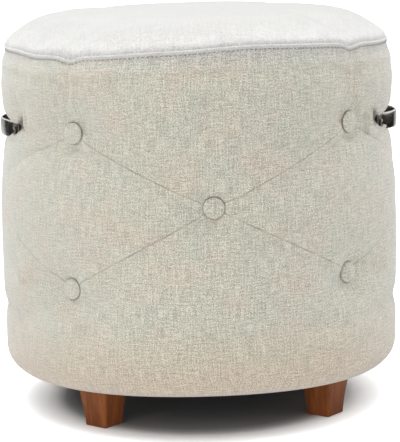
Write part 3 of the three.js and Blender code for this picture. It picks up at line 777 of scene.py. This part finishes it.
class TUFFET_OT_side_cover(bpy.types.Operator):
    """Tufted side of the cover, blown out between its buttons and turned under the base"""

    bl_idname = "tuffet.side_cover"
    bl_label = "Side Cover"

    columns = 240
    side_rows = 70
    round_rows = 8
    hem_rows = 6
    tail = 0.006
    foam_columns = 180
    foam_rows = 44
    foam_inset = 0.0085
    foam_behind_cloth = 0.003
    foam_least = 0.0015
    # Distances over which the seam, the hem, the buttons and the folds let go of the cloth
    seam_grip = (0.026, 0.007)
    hem_grip = (0.13, 0.055)
    button_grip = (0.012, 0.017)
    fold_grip = 0.005

    def execute(self, context):
        turns, drops = self.turns(), self.drops()
        rows = self.side_rows + self.round_rows + self.hem_rows

        def place(u, v):
            turn = turns[round(u * self.columns)]
            row = round(v * rows)
            if row <= self.side_rows:
                return self.upright(turn, drops[row])
            return self.turned_under(turn, row - self.side_rows)

        bm = wrapped_sheet(self.columns, rows, place)
        face_outwards(bm, (0, 0, 0.25))
        piece = finish_mesh(bm, "tufted_side_cover")
        blow_up(piece, self.grip, pressure=4.0, spare=0.022, calming=3)
        subdivide(piece)
        wear(piece, linen_material("oatmeal_linen_side", "UV", fold_group()), "linen", "side_cover")
        self.side_foam(piece)
        return {"FINISHED"}

    def turns(self):
        """Where the columns stand: crowded at the ends of the hollows, and a little at the buttons."""
        s = cover_sizes()
        fold = s.hollow_half_span + s.hollow_fade / 2
        narrow, wide = math.radians(3), math.radians(4)
        busy = [(side + way * fold, narrow, 2.5) for side in (math.pi / 2, 1.5 * math.pi) for way in (-1, 1)]
        busy += [(n * EIGHTH + s.pattern_turn, wide, 0.8) for n in (0, 1, 3, 4, 5, 7, 8)]
        return crowded(self.columns, 0.0, FULL_TURN, busy)

    def drops(self):
        """Where the rows lie, as shares of the way down: crowded at the buttons and at the hollows' lips."""
        s = cover_sizes()
        tall = s.seam_height - s.hem_height - s.hem_round
        handle, lip = trim_sizes().handle_height, 0.014
        levels = [(row, 0.012, 0.8) for row in (s.upper_row, s.middle_row, s.lower_row)]
        levels += [(handle + lip, 0.006, 3.0), (handle - lip, 0.006, 2.0)]
        levels = [((s.seam_height - row) / tall, width / tall, weight) for row, width, weight in levels]
        return crowded(self.side_rows, 0.0, 1.0, levels)

    def bend_at(self, turn):
        """Height where the side bends in to the hem, and how much the hem is bowed up there."""
        s = cover_sizes()
        bow = s.hem_bow * math.cos(pulled(turn, s.hem_height)[0]) ** 4
        return s.hem_height + s.hem_round + bow, bow

    def upright(self, turn, drop):
        """A place on the side, with its place in the even pattern as UV, so that folds follow the buttons."""
        s = cover_sizes()
        top = seam_height_at(turn) - CLOTH_INSET
        height = top - drop * (top - self.bend_at(turn)[0])
        even_turn, even_height = pulled(turn, height)
        shift = (even_turn - turn + s.pattern_turn + math.pi) % FULL_TURN - math.pi
        radius = cover_radius(turn, height) - CLOTH_INSET
        slack = s.slack * (1 - smooth_step(self.grip(on_spoke(turn, radius, height)), 0.0, 0.35))
        along = (turn - s.pattern_turn) * s.body_radius + shift * s.body_radius
        return on_spoke(turn, radius - slack, height), (along, even_height)

    def turned_under(self, turn, row):
        """A place on the round of the lower edge, or on the hem, whose tail turns up inside the base."""
        s = cover_sizes()
        bend, bow = self.bend_at(turn)
        along = (turn - s.pattern_turn) * s.body_radius
        middle = s.body_radius - s.hem_round
        if row <= self.round_rows:
            tilt = row / self.round_rows * math.pi / 2
            radius = middle + (s.hem_round - CLOTH_INSET) * math.cos(tilt)
            point = on_spoke(turn, radius, bend - s.hem_round * math.sin(tilt))
            return point, (along, bend - s.hem_round * tilt)
        run = (row - self.round_rows) / self.hem_rows * (s.hem_width + self.tail)
        inward = min(run, s.hem_width)
        lift = run - inward + bow * (1 - inward / s.hem_width)
        point = on_spoke(turn, middle - inward, s.hem_height + lift)
        return point, (along, bend - s.hem_round * math.pi / 2 - run)

    def grip(self, point):
        """How firmly the cover is held here: at the seam, the hem, the buttons, the folds and the hollows."""
        s = cover_sizes()
        turn = math.atan2(point.x, -point.y)
        seam = seam_height_at(turn)
        sewn = smooth_step(seam - point.z, *self.seam_grip) + smooth_step(point.z, *self.hem_grip)
        pattern, height = pulled(turn, point.z)
        across = s.body_radius * folded_turn(pattern)
        fold = 0.0 if is_side(pattern) else 0.8 * bell(crease_distance(across, height) / self.fold_grip)
        hollow = 1.0 if hollow_share(turn, point.z) > 0.02 else 0.0
        button = 1 - smooth_step(seat_distance(pattern, height), *self.button_grip)
        return max(button, fold, hollow, sewn)

    def side_foam(self, cover):
        """The foam wrap behind the cover, drawn in with it at every button and in the hollows."""
        s = cover_sizes()
        low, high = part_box("side_foam")
        inside = min(math.hypot(v.co.x, v.co.y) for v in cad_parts["side_foam"].data.vertices)
        rows = self.foam_rows
        bend = s.hem_height + s.hem_round
        turned_in = s.hem_round - self.foam_inset

        def place(u, v):
            turn = u * FULL_TURN
            row = round(v * rows)
            if row in (0, rows - 1, rows):
                return on_spoke(turn, inside, low.z if row == rows - 1 else high.z), (u, v)
            height = high.z + (low.z - high.z) * (row - 1) / (rows - 3)
            outward = on_spoke(turn, 1.0, 0.0)
            found, spot, _, _ = cover.ray_cast(Vector((0, 0, max(height, bend))), outward)
            radius = cover_radius(turn, max(height, bend)) - self.foam_inset
            if found:
                radius = min(radius, spot.dot(outward) - self.foam_behind_cloth)
            if height < bend:
                radius += math.sqrt(max(0.0, turned_in**2 - (bend - height) ** 2)) - turned_in
            return on_spoke(turn, max(radius, inside + self.foam_least), height), (u, v)

        bm = wrapped_sheet(self.foam_columns, rows, place)
        close(bm)
        piece = finish_mesh(bm, "contoured_side_foam")
        wear(piece, foam_material(), "foam", "side_foam")


def dome(inset, steps):
    """The seat's dome at an inset from its cover: a square grid drawn out to a disc, with no fan on top."""
    s = cover_sizes()
    crown = s.seam_height + s.crown_rise - inset
    edge_share = 0.4

    def place(u, v):
        x, y = 2 * u - 1, 2 * v - 1
        turn = math.atan2(x, -y)
        seam = seam_height_at(turn)
        edge = seam + edge_share * (trim_sizes().welt_radius - inset)
        tilt = max(abs(x), abs(y)) * math.pi / 2
        out = math.sin(tilt) ** (2 / s.dome_power)
        up = max(0.0, math.cos(tilt)) ** (2 / s.dome_power)
        point = on_spoke(turn, (cover_radius(turn, seam) - inset) * out, edge + (crown - edge) * up)
        return point, (point.x, point.y)

    return wrapped_sheet(steps, steps, place)


class TUFFET_OT_top_cover(bpy.types.Operator):
    """Domed seat of the cover, filled out from the seam to the crown"""

    bl_idname = "tuffet.top_cover"
    bl_label = "Top Cover"

    steps = 96
    sunk_to, level_from = 0.12, 0.195
    sewn_rise = 0.006
    foam_steps = 48
    foam_inset = 0.008

    def execute(self, context):
        bm = dome(CLOTH_INSET, self.steps)
        for vertex in bm.verts:
            out = math.hypot(vertex.co.x, vertex.co.y)
            vertex.co.z -= cover_sizes().stuffing * (1 - smooth_step(out, self.sunk_to, self.level_from))
        face_outwards(bm, (0, 0, 0.3))
        piece = finish_mesh(bm, "domed_top_cover")
        blow_up(piece, self.grip, pressure=2.0, spare=0.012, calming=24)
        subdivide(piece)
        # The seat gets painted glare, and painted rim light near the seam
        wear(piece, linen_material("oatmeal_linen_top", "Object", glare_share=0.88), "linen", "top_cover")
        self.seat_foam()
        return {"FINISHED"}

    def grip(self, point):
        """The cover is held beside the seam and nowhere else."""
        seam = seam_height_at(math.atan2(point.x, -point.y))
        return 1.0 if point.z < seam + self.sewn_rise else 0.0

    def seat_foam(self):
        """The crowned pad under the top cover, cut flat where it lies on its board."""
        bm = dome(self.foam_inset, self.foam_steps)
        rim = [e for e in bm.edges if e.is_boundary]
        for made in bmesh.ops.extrude_edge_only(bm, edges=rim)["geom"]:
            if isinstance(made, bmesh.types.BMVert):
                made.co.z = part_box("seat_foam")[0].z
        close(bm)
        piece = finish_mesh(bm, "crowned_seat_foam")
        wear(piece, foam_material(), "foam", "seat_foam")


class TUFFET_OT_seam(bpy.types.Operator):
    """The roll in the top seam, and the row of stitches under it"""

    bl_idname = "tuffet.seam"
    bl_label = "Seam Welt"

    columns = 360
    rows = 12
    stitch_drop_share = 1.55
    stitch_depth = 0.0004
    stitch_half_height = 0.00042
    stitch_stand = 0.0001
    look_ahead = 0.01

    def execute(self, context):
        s = cover_sizes()
        radius = trim_sizes().welt_radius

        def place(u, v):
            turn = u * FULL_TURN + s.pattern_turn
            height = seam_height_at(turn)
            tilt = v * FULL_TURN
            out = cover_radius(turn, height) - SINK + radius * math.cos(tilt)
            point = on_spoke(turn, out, height + radius * math.sin(tilt))
            return point, (u * FULL_TURN * s.body_radius, 0.5 + tilt * radius)

        bm = wrapped_sheet(self.columns, self.rows, place)
        close(bm)
        # The welt gets painted glare and painted rim light, like the seat
        material = linen_material("oatmeal_linen_welt", "UV", glare_share=0.6)
        wear(finish_mesh(bm, "seam_welt_roll"), material, "linen", "seam_welt")
        self.stitches()
        return {"FINISHED"}

    def stitches(self):
        s = cover_sizes()
        t = trim_sizes()
        count = round(FULL_TURN * s.body_radius / t.stitch_pitch)
        shape = Matrix.Diagonal((0.5 * t.stitch_length, self.stitch_depth, self.stitch_half_height, 1))
        bm = bmesh.new()
        for number in range(count):
            turn = number / count * FULL_TURN
            height = seam_height_at(turn) - self.stitch_drop_share * t.welt_radius
            climb = seam_height_at(turn + self.look_ahead) - seam_height_at(turn - self.look_ahead)
            slope = math.atan2(climb, 2 * self.look_ahead * s.body_radius)
            made = bmesh.ops.create_icosphere(bm, subdivisions=1, radius=1.0)["verts"]
            spot = Matrix.Translation(on_spoke(turn, cover_radius(turn, height) + self.stitch_stand, height))
            lie = Matrix.Rotation(turn, 4, "Z") @ Matrix.Rotation(-slope, 4, "Y")
            bmesh.ops.transform(bm, matrix=spot @ lie @ shape, verts=made)
        thread = speckled_material("linen_thread", paint("thread"), paint("thread", 0.7), 900.0, 0.8)
        wear(finish_mesh(bm, "seam_stitches"), thread, "linen")


class TUFFET_OT_buttons(bpy.types.Operator):
    """Covered buttons: a flat dome of cloth drawn round a shell, each in its dimple"""

    bl_idname = "tuffet.buttons"
    bl_label = "Covered Buttons"

    columns = 48
    rows = 18
    face_share = 0.78
    edge_share = 0.38
    back_share = 0.2
    pucker_start = 0.6
    pucker_share = 0.006
    puckers = 9

    def execute(self, context):
        s = cover_sizes()
        material = linen_material("oatmeal_linen_buttons", "UV")
        for number, (name, (turn, height)) in enumerate(seats().items()):
            pull_turn, pull_height = BUTTON_PULL.get(name, (0.0, 0.0))
            turn += s.pattern_turn + math.radians(pull_turn)
            bm = self.button(number)
            place_on_drum(bm, turn, trim_sizes().button_back, height + pull_height)
            piece = finish_mesh(bm, f"covered_button_{name}")
            wear(piece, material, "linen", f"tuft_button_{name}")
        return {"FINISHED"}

    def button(self, number):
        """A flat dome whose cloth is puckered behind the rim, and cut from another spot each time."""
        t = trim_sizes()
        edge = self.edge_share * t.button_thickness

        def place(u, v):
            turn = u * FULL_TURN
            if v < self.face_share:
                tilt = v / self.face_share * math.pi / 2
                out = math.sin(tilt)
                up = edge + (t.button_thickness - edge) * math.cos(tilt) ** 0.8
            else:
                behind = (v - self.face_share) / (1 - self.face_share)
                out = 1 - self.back_share * behind**1.5
                up = edge * (1 - behind)
            if v > self.pucker_start:
                out *= 1 + self.pucker_share * math.sin(self.puckers * turn + number)
            x, y = out * t.button_radius * math.cos(turn), out * t.button_radius * math.sin(turn)
            return Vector((x, y, up)), (x + 0.05 * number + 0.31, y + 0.03 * number + 0.12)

        bm = wrapped_sheet(self.columns, self.rows, place)
        close(bm)
        return bm


class TUFFET_OT_legs(bpy.types.Operator):
    """Tapered square legs with eased edges"""

    bl_idname = "tuffet.legs"
    bl_label = "Legs"

    cuts = 9
    gap = 0.0003
    eased = 0.0022

    def execute(self, context):
        s = cover_sizes()
        t = trim_sizes()
        material = wood_material()
        for number, corner in enumerate(CORNERS):
            bm = bmesh.new()
            bmesh.ops.create_cube(bm, size=1.0)
            uprights = [e for e in bm.edges if abs(e.verts[0].co.z - e.verts[1].co.z) > 0.5]
            bmesh.ops.subdivide_edges(bm, edges=uprights, cuts=self.cuts, use_grid_fill=True)
            for vertex in bm.verts:
                share = vertex.co.z + 0.5
                side = t.leg_bottom + (t.leg_top - t.leg_bottom) * share**t.leg_curve
                vertex.co = (vertex.co.x * side, vertex.co.y * side, share * (s.hem_height - self.gap))
            ease(bm, [e for e in bm.edges if e.calc_face_angle(0) > 1.0], self.eased, 4)
            turn = (2 * number + 1) * EIGHTH + t.leg_turn
            spot = Matrix.Translation(on_spoke(turn, s.body_radius - t.leg_inset, 0))
            bmesh.ops.transform(bm, matrix=spot @ Matrix.Rotation(turn, 4, "Z"), verts=bm.verts)
            close(bm)
            wear(finish_mesh(bm, f"tapered_leg_{corner}"), material, "stained_wood", f"leg_{corner}")
        return {"FINISHED"}


class TUFFET_OT_handles(bpy.types.Operator):
    """Bowed strap handles with flat feet, and their screws"""

    bl_idname = "tuffet.handles"
    bl_label = "Strap Handles"

    half_span = math.radians(18)
    foot_length = 0.024
    foot_steps = 4
    foot_bend = math.radians(24.5)
    foot_bend_radius = 0.008
    bend_steps = 8
    bow_steps = 64
    foot_lift = 0.0012
    section_steps = 40
    eased = 0.0004
    # The left strap has been pressed a little flatter than the right one
    left_pressed = 0.004
    screw_gap = 0.0003
    screw_columns = 32

    def execute(self, context):
        s = cover_sizes()
        t = trim_sizes()
        material = nickel_material()
        path = self.strap_path()
        for side, turn, pressed in (("right", 0.0, 0.0), ("left", math.pi, self.left_pressed)):
            bm = self.strap(path, pressed)
            bmesh.ops.rotate(bm, verts=bm.verts, cent=(0, 0, 0), matrix=Matrix.Rotation(turn, 3, "Z"))
            wear(finish_mesh(bm, f"bowed_strap_{side}"), material, "nickel", f"handle_{side}")
        seat = s.body_radius - s.hollow_depth + self.foot_lift + t.strap_thickness + self.screw_gap
        feet = {
            "right_front": math.pi / 2 - self.half_span,
            "right_back": math.pi / 2 + self.half_span,
            "left_back": -math.pi / 2 - self.half_span,
            "left_front": -math.pi / 2 + self.half_span,
        }
        for foot, turn in feet.items():
            bm = self.screw()
            place_on_drum(bm, turn, seat, t.handle_height)
            wear(finish_mesh(bm, f"pan_screw_{foot}"), material, "nickel", f"screw_handle_{foot}")
        return {"FINISHED"}

    def strap_path(self):
        """Points and headings along the middle of the strip, which runs along +Y with its bow towards +X."""
        s = cover_sizes()
        line = s.body_radius - s.hollow_depth + self.foot_lift + trim_sizes().strap_thickness / 2
        half, bend, radius = self.foot_length / 2, self.foot_bend, self.foot_bend_radius
        sine, cosine = math.sin(self.half_span), math.cos(self.half_span)
        at = Vector((line * cosine - half * sine, -line * sine - half * cosine))
        bow_angle = self.half_span + bend
        inner = line * sine - half * cosine
        bow_radius = (inner - radius * (math.sin(bow_angle) - sine)) / math.sin(bow_angle)
        heading = math.pi / 2 - self.half_span
        path = [(at.copy(), heading)]
        foot, turned = (self.foot_length, 0, self.foot_steps), (radius, -bend, self.bend_steps)
        for size, turn, steps in (foot, turned, (bow_radius, 2 * bow_angle, self.bow_steps), turned, foot):
            part = turn / steps
            step = 2 * size * math.sin(abs(part) / 2) if turn else size / steps
            for _ in range(steps):
                course = heading + part / 2
                at += Vector((step * math.cos(course), step * math.sin(course)))
                heading += part
                path.append((at.copy(), heading))
        return path

    def strap(self, path, pressed):
        """A strip with a crowned section, bent along the path."""
        t = trim_sizes()
        foot_end, bow_top = path[self.foot_steps][0].x, max(point.x for point, _ in path)

        def crowned(size, way):
            return size / 2 * math.copysign(abs(way) ** t.strap_crown, way)

        def place(u, v):
            point, heading = path[round(u * (len(path) - 1))]
            tilt = round(v * self.section_steps) % self.section_steps / self.section_steps * FULL_TURN
            outward = Vector((math.sin(heading), -math.cos(heading)))
            spot = point + crowned(t.strap_thickness, math.cos(tilt)) * outward
            spot.x -= pressed * smooth_step(spot.x, foot_end, bow_top)
            return Vector((*spot, t.handle_height + crowned(t.strap_width, math.sin(tilt)))), (u, v)

        bm = wrapped_sheet(len(path) - 1, self.section_steps, place)
        close(bm)
        ends = {e for f in bm.faces if len(f.verts) > 4 for e in f.edges}
        ease(bm, list(ends), self.eased, 2)
        return bm

    def screw(self):
        """A pan head with a crossed slot, its seat at the origin and its shank below."""
        head, rise, shank, tip = 0.0046, 0.0024, 0.0022, 0.038
        slot_half, slot_reach, slot_depth = 0.0006, 0.0026, 0.0011
        head_rows = 6
        profile = []
        for row in range(head_rows):
            tilt = row / head_rows * math.pi / 2
            profile.append((head * math.sin(tilt) ** 0.8, rise * math.cos(tilt) ** 0.6))
        profile += [(head, 0.0), (shank, 0.0), (shank, -0.4 * tip), (shank, -0.8 * tip)]
        profile += [(0.6 * shank, -0.92 * tip), (0.0, -tip)]

        def place(u, v):
            turn = u * FULL_TURN
            out, up = profile[round(v * (len(profile) - 1))]
            x, y = out * math.cos(turn), out * math.sin(turn)
            if up > 0 and out < slot_reach and min(abs(x), abs(y)) < slot_half:
                up -= slot_depth
            return Vector((x, y, up)), (u, v)

        bm = wrapped_sheet(self.screw_columns, len(profile) - 1, place)
        close(bm)
        return bm


class TUFFET_OT_inside(bpy.types.Operator):
    """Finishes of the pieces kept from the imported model: boards, posts, ties, bolts and dust cover"""

    bl_idname = "tuffet.inside"
    bl_label = "Inner Pieces"

    def execute(self, context):
        light, dark = (0.52, 0.33, 0.17, 1), (0.36, 0.2, 0.09, 1)
        wood = speckled_material("raw_plywood", light, dark, 40.0, 0.75, (1, 6, 12))
        light, dark = (0.70, 0.49, 0.26, 1), (0.55, 0.35, 0.16, 1)
        pine = speckled_material("sawn_pine", light, dark, 60.0, 0.7, (3, 3, 0.3))
        light, dark = (0.55, 0.56, 0.58, 1), (0.36, 0.37, 0.38, 1)
        zinc = speckled_material("zinc_plate", light, dark, 300.0, 0.4, metallic=1.0)
        light, dark = (0.72, 0.66, 0.5, 1), (0.5, 0.44, 0.32, 1)
        twine = speckled_material("waxed_twine", light, dark, 1200.0, 0.8)
        light, dark = paint("dust_cloth", 2.2), paint("dust_cloth")
        black = speckled_material("black_dust_cloth", light, dark, 1500.0, 0.95)
        finishes = {
            "drum_skin": wood,
            "seat_board": wood,
            "base_board": wood,
            "frame_post": pine,
            "hanger_bolt": zinc,
            "tee_nut": zinc,
            "tuft_tie": twine,
            "dust_cover": black,
        }
        for name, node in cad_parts.items():
            for start, material in finishes.items():
                if name.startswith(start):
                    coat(node, material)
        return {"FINISHED"}


class TUFFET_OT_stage(bpy.types.Operator):
    """Pale floor, soft lamps and the camera"""

    bl_idname = "tuffet.stage"
    bl_label = "Stage"

    lens = 151.3
    distance = 2.1717
    aim_height = 0.2172
    azimuth = math.radians(-1.0)
    elevation = math.radians(9.3)
    roll = math.radians(-1.1)
    shift = (0.0025, -0.0253)
    lamp_aim = (0, 0, 0.25)
    flag_aside = 0.75
    flag_middle = (0.22, 0.235)
    flag_size = (0.24, 0.94)

    def execute(self, context):
        self.make_floor()
        self.make_world()
        self.make_flags()
        self.make_lamp("overhead_softbox", (-0.15, 0.1, 2.3), 2.2, 52.0)
        self.make_lamp("front_softbox", (-1.3, -2.4, 1.2), 1.6, 13.0)
        self.make_lamp("right_fill", (2.3, 0.7, 2.3), 1.6, 17.0)
        self.make_camera()
        context.scene.view_settings.view_transform = "Standard"
        return {"FINISHED"}

    def sheet(self, name, size, material, matrix=Matrix()):
        bm = bmesh.new()
        bmesh.ops.create_grid(bm, x_segments=1, y_segments=1, size=size)
        bmesh.ops.transform(bm, matrix=matrix, verts=bm.verts)
        piece = finish_mesh(bm, name, smooth=False)
        piece.data.materials.append(material)
        return piece

    def make_floor(self):
        """A matt floor, seen by the camera as burnt out to white away from the tuffet."""
        material, tree, shader = new_material("pale_floor", 1.0)
        vector = object_place(tree)
        white = (1, 1, 1, 1)
        base = mixed(remap(noise(vector, 30.0), 0.3, 0.7, 0, 0.02), paint("floor"), white)
        # The shadow reaches a little further to the front than to the sides
        forward = vector_maths("ADD", scaled(vector, 1.07, 1, 1), (0, 0.006, 0))
        away = vector_maths("LENGTH", forward)
        seen = put(tree, "ShaderNodeLightPath").outputs["Is Camera Ray"]
        burnt = plus(remap(away, 0.172, 0.225, 0.0, 0.6), remap(away, 0.3, 1.5, 0.0, 0.4))
        # The camera sees the contact shadow a little deeper
        deep = times(remap(away, 0.194, 0.158, 0.0, 0.62), seen)
        feed(shader, {
            "Base Color": mixed(deep, base, (0.04, 0.04, 0.04, 1)),
            "Specular IOR Level": 0.0,
            "Emission Color": white,
            "Emission Strength": times(burnt, seen),
        })
        self.sheet("floor", 30, material)

    def make_world(self):
        """White to the camera and in polished metal, and a soft room to cloth and wood."""
        world = bpy.data.worlds.new("white_room")
        bpy.context.scene.world = world
        world.use_nodes = True
        tree = world.node_tree
        rays = put(tree, "ShaderNodeLightPath").outputs
        seen = maths("MAXIMUM", rays["Is Camera Ray"], rays["Is Transmission Ray"])
        seen = maths("MAXIMUM", seen, rays["Is Glossy Ray"])
        strength = remap(seen, 0.0, 1.0, 0.42, 1.0)
        feed(tree.nodes["Background"], {"Color": (1, 1, 1, 1), "Strength": strength})

    def make_flags(self):
        """Black cards left and right, seen only in polished metal, as a photographer sets them."""
        black, _, shader = new_material("black_flag", 1.0)
        feed(shader, {"Base Color": (0.01, 0.009, 0.008, 1), "Specular IOR Level": 0.0})
        for name, side in (("flag_left", -1), ("flag_right", 1)):
            spot = Matrix.Translation((self.flag_aside * side, *self.flag_middle))
            turned = Matrix.Rotation(math.pi / 2, 4, "Y") @ Matrix.Diagonal((*self.flag_size, 1, 1))
            flag = self.sheet(name, 0.5, black, spot @ turned)
            for rays in ("camera", "diffuse", "shadow", "transmission"):
                setattr(flag, f"visible_{rays}", False)

    def make_lamp(self, name, place, size, power):
        data = bpy.data.lights.new(name, "AREA")
        data.shape = "SQUARE"
        data.size = size
        data.energy = power
        lamp = link(name, data)
        lamp.location = place
        lamp.rotation_mode = "QUATERNION"
        lamp.rotation_quaternion = (Vector(self.lamp_aim) - Vector(place)).to_track_quat("-Z", "Y")

    def make_camera(self):
        data = bpy.data.cameras.new("camera")
        data.lens = self.lens
        data.sensor_width = 36
        data.sensor_fit = "AUTO"
        data.shift_x, data.shift_y = self.shift
        camera = link("camera", data)
        a, e = self.azimuth, self.elevation
        back = Vector((math.sin(a) * math.cos(e), -math.cos(a) * math.cos(e), math.sin(e)))
        camera.location = Vector((0, 0, self.aim_height)) + back * self.distance
        camera.rotation_mode = "QUATERNION"
        level = (-back).to_track_quat("-Z", "Y")
        camera.rotation_quaternion = level @ Euler((0, 0, self.roll)).to_quaternion()
        bpy.context.scene.camera = camera


# Panel and registration


class TUFFET_PT_panel(bpy.types.Panel):
    """Lists the tuffet's sizes, colours and pieces"""

    bl_idname = "TUFFET_PT_panel"
    bl_label = "Tufted Tuffet"
    bl_space_type = "VIEW_3D"
    bl_region_type = "UI"
    bl_category = "Tuffet"

    def draw(self, context):
        layout = self.layout
        for group in GROUPS:
            box = layout.box()
            box.label(text=group.removeprefix("tuffet_").title())
            settings = getattr(context.scene, group)
            for name in settings.__annotations__:
                box.prop(settings, name)
        for operator in OPERATORS:
            layout.operator(operator.bl_idname)


OPERATORS = (
    TUFFET_OT_side_cover,
    TUFFET_OT_top_cover,
    TUFFET_OT_seam,
    TUFFET_OT_buttons,
    TUFFET_OT_legs,
    TUFFET_OT_handles,
    TUFFET_OT_inside,
    TUFFET_OT_stage,
)
GROUPS = {
    "tuffet_cover": TuffetCoverSizes,
    "tuffet_trim": TuffetTrimSizes,
    "tuffet_colours": TuffetColours,
}


def register():
    for kind in (*GROUPS.values(), *OPERATORS, TUFFET_PT_panel):
        bpy.utils.register_class(kind)
    for name, kind in GROUPS.items():
        setattr(bpy.types.Scene, name, bpy.props.PointerProperty(type=kind))


def unregister():
    for name in GROUPS:
        delattr(bpy.types.Scene, name)
    for kind in reversed((*GROUPS.values(), *OPERATORS, TUFFET_PT_panel)):
        bpy.utils.unregister_class(kind)


def main():
    register()
    for operator in OPERATORS:
        group, name = operator.bl_idname.split(".")
        getattr(getattr(bpy.ops, group), name)()


if __name__ == "__main__":
    main()
